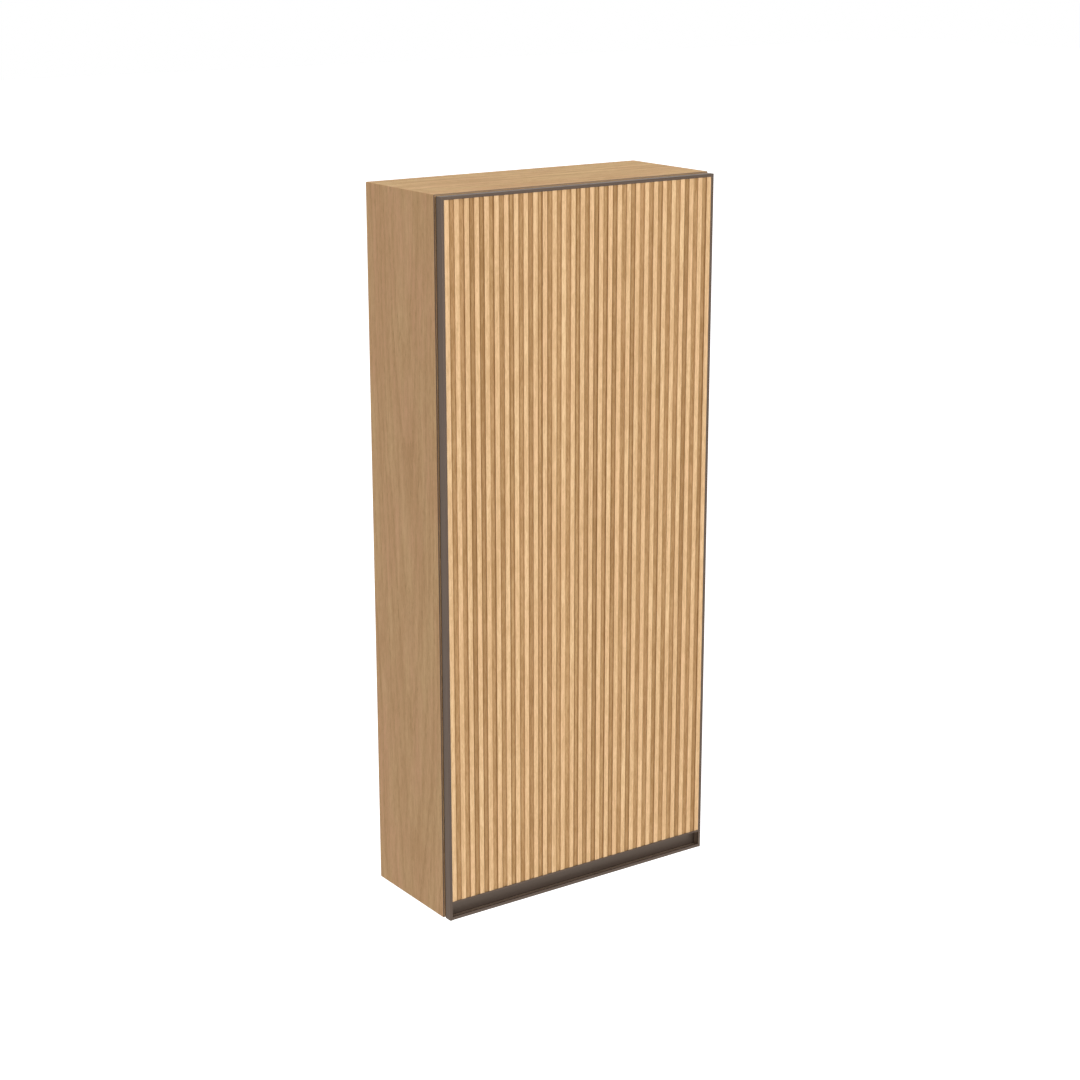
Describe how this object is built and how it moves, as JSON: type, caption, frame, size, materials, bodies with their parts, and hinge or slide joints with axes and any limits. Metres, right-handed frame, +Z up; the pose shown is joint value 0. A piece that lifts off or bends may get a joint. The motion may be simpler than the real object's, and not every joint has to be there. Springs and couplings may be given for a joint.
{
  "type": "wall cabinet",
  "caption": "Shallow oak wall cabinet with adjustable shelves and a hinged overlay door of upright slats in a slim bronze frame, with a grip channel along its bottom edge.",
  "frame": {"origin": "middle of the bottom edge of the back, on the plane that meets the wall", "axes": "+X to the right as seen from the front, +Y out of the back towards the wall, +Z up along the height"},
  "size_m": [0.4, 0.164, 0.896],
  "materials": {
    "oak_veneer": "matt lacquered oak veneer",
    "oak_back": "matt lacquered oak veneer",
    "birch": "bare wood",
    "oak_slats": "matt lacquered oak",
    "oak_core": "matt lacquered oak veneer",
    "bronze_frame": "bronze anodised, satin",
    "hinge_nickel": "nickel plated, satin",
    "steel": "zinc plated",
    "catch_plastic": "moulded, matt",
    "magnet": "dark ferrite between steel cheeks",
    "bumper": "soft silicone"
  },
  "bodies": {
    "cabinet": {"left_side_panel": "oak_veneer", "right_side_panel": "oak_veneer", "top_panel": "oak_veneer", "bottom_panel": "oak_veneer", "lower_shelf": "oak_veneer", "middle_shelf": "oak_veneer", "upper_shelf": "oak_veneer", "upper_hang_rail": "oak_veneer", "lower_hang_rail": "oak_veneer", "back_panel": "oak_back", "corner_splines": "birch", "rail_dowels": "birch", "upper_hinge_plate": "hinge_nickel", "lower_hinge_plate": "hinge_nickel", "upper_hinge_arm": "hinge_nickel", "lower_hinge_arm": "hinge_nickel", "shelf_pins": "steel", "hinge_plate_screws": "steel", "hinge_arm_screws": "steel", "catch_screws": "steel", "catch_housing": "catch_plastic", "catch_magnet": "magnet"},
    "door": {"left_stile": "bronze_frame", "right_stile": "bronze_frame", "top_rail": "bronze_frame", "grip_rail": "bronze_frame", "corner_keys": "steel", "core_board": "oak_core", "rib_slats": "oak_slats", "upper_hinge_block": "hinge_nickel", "lower_hinge_block": "hinge_nickel", "hinge_pins": "steel", "hinge_block_screws": "steel", "strike_plate": "steel", "strike_screws": "steel", "door_bumpers": "bumper"}
  },
  "joints": [
    {"name": "door_swing", "type": "hinge", "parent": "cabinet", "child": "door", "pos_m": [0.1937, -0.156, 0.4475], "axis": [0, 0, 1], "range_deg": [0, 95]}
  ]
}
